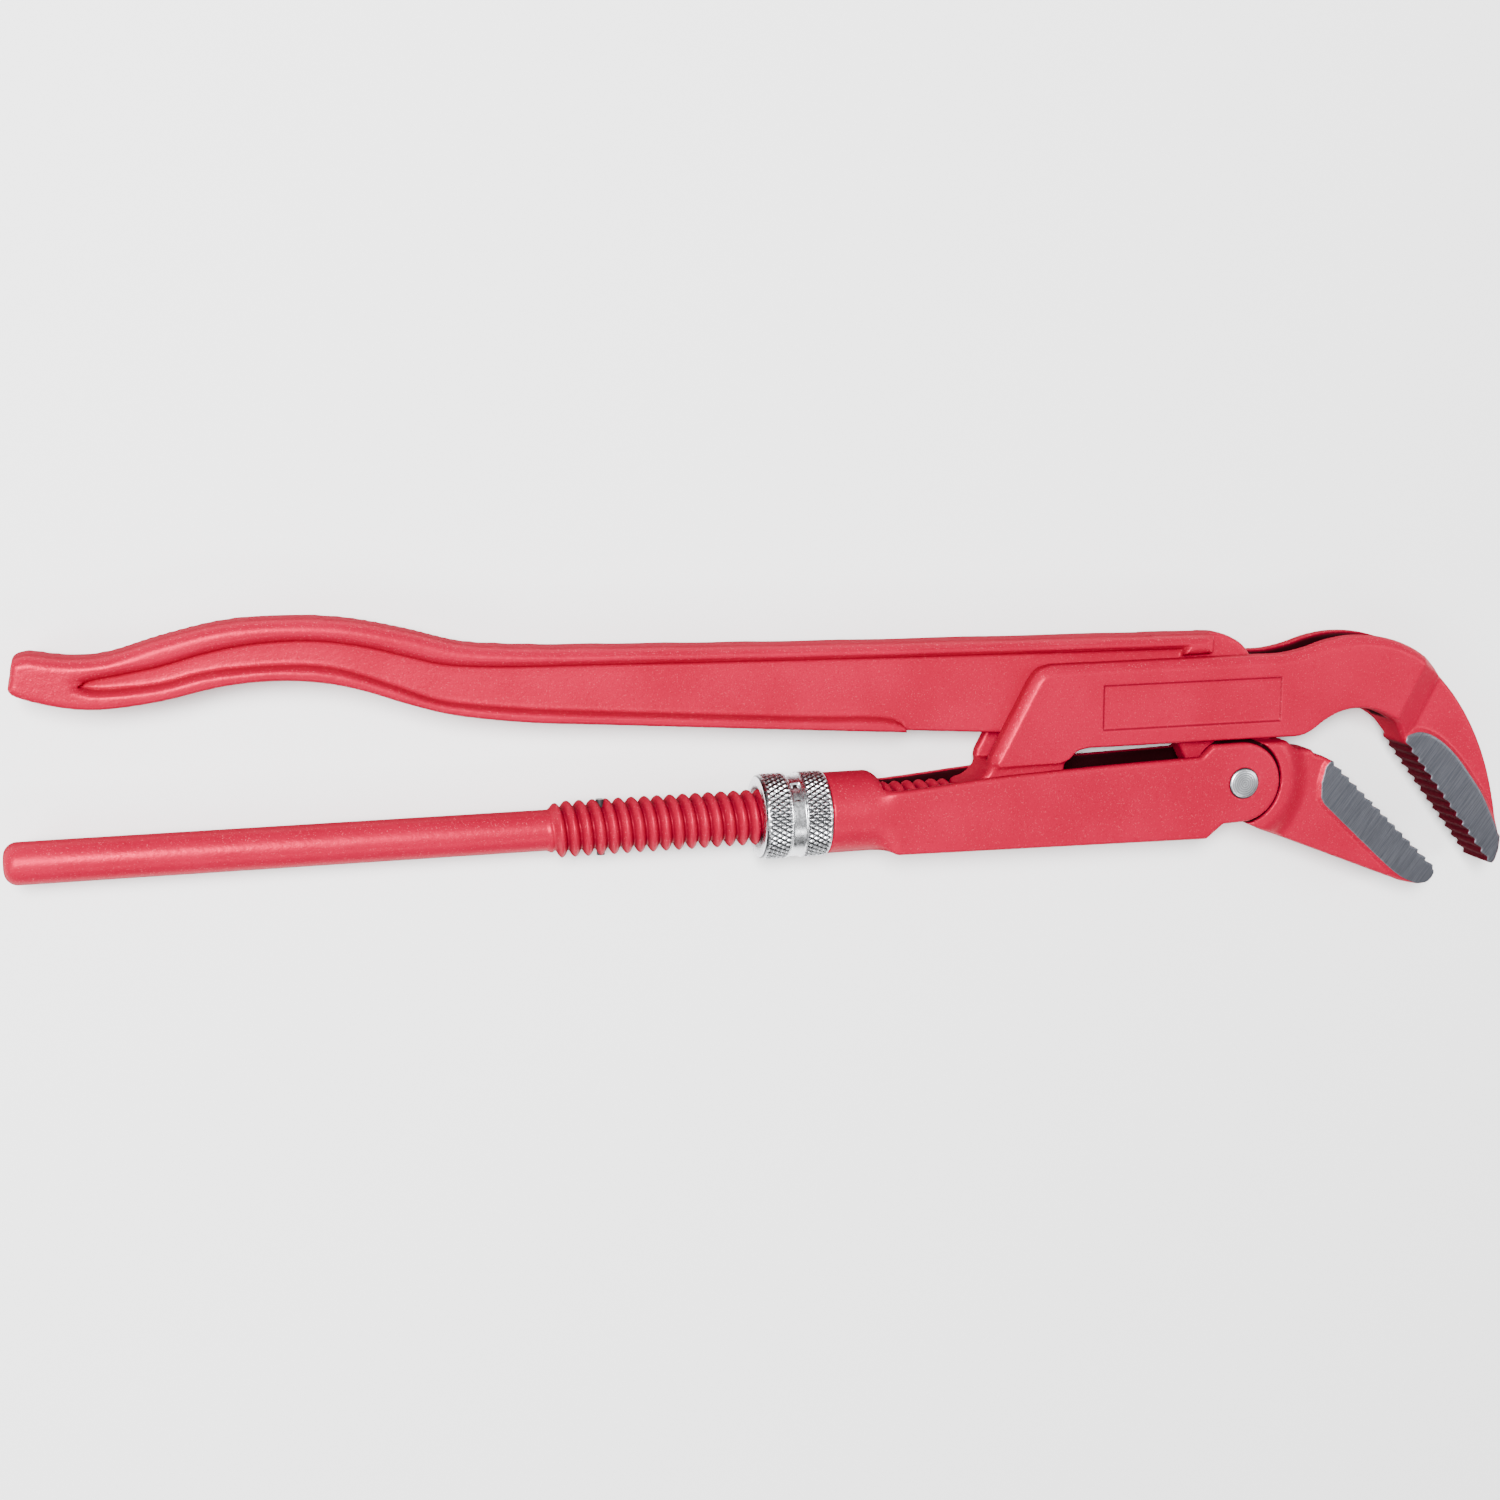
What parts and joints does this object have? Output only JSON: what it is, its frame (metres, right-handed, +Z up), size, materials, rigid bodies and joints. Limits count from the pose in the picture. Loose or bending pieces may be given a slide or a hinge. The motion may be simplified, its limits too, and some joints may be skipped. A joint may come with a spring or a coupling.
{
  "type": "pipe wrench",
  "caption": "Swedish-pattern pipe wrench: toothed 45 degree jaws on two crossed arms, set by a knurled nut on a threaded rod handle.",
  "frame": {"origin": "centre of the wrench's outline on the ground it lies on, flat on its side", "axes": "+X along the rod handle towards the jaws, +Y from the rod handle towards the beam handle, +Z up through the thickness"},
  "size_m": [0.4168, 0.0902, 0.0232],
  "materials": {
    "red_coating": "semi-gloss powder coat over forged steel, bare ground steel on the jaw pads",
    "bright_plate": "bright zinc plate, knurled",
    "spring_wire": "drawn wire",
    "rivet_steel": "turned",
    "black_pin": "blackened"
  },
  "bodies": {
    "hook_arm": {"hook_arm": "red_coating", "stop_pin": "black_pin"},
    "nut": {"adjusting_nut": "bright_plate", "retaining_ring": "spring_wire"},
    "sleeve": {"sleeve": "red_coating", "pivot_rivet": "rivet_steel"},
    "lever": {"lever_arm": "red_coating"}
  },
  "joints": [
    {"name": "sleeve_slide", "type": "slide", "parent": "hook_arm", "child": "sleeve", "axis": [1, 0, 0], "range_m": [-0.0315, 0.014]},
    {"name": "nut_turn", "type": "hinge", "parent": "sleeve", "child": "nut", "pos_m": [-0.00714, -0.01393, 0.0116], "axis": [1, 0, 0], "range_deg": [-3241, 1441]},
    {"name": "lever_pivot", "type": "hinge", "parent": "sleeve", "child": "lever", "pos_m": [0.12236, -0.01073, 0.0116], "axis": [0, 0, 1], "range_deg": [-20, 1.5]}
  ],
  "couplings": [
    {"joint": "nut_turn", "follows": "sleeve_slide", "rad_per_m": 1795.2}
  ]
}
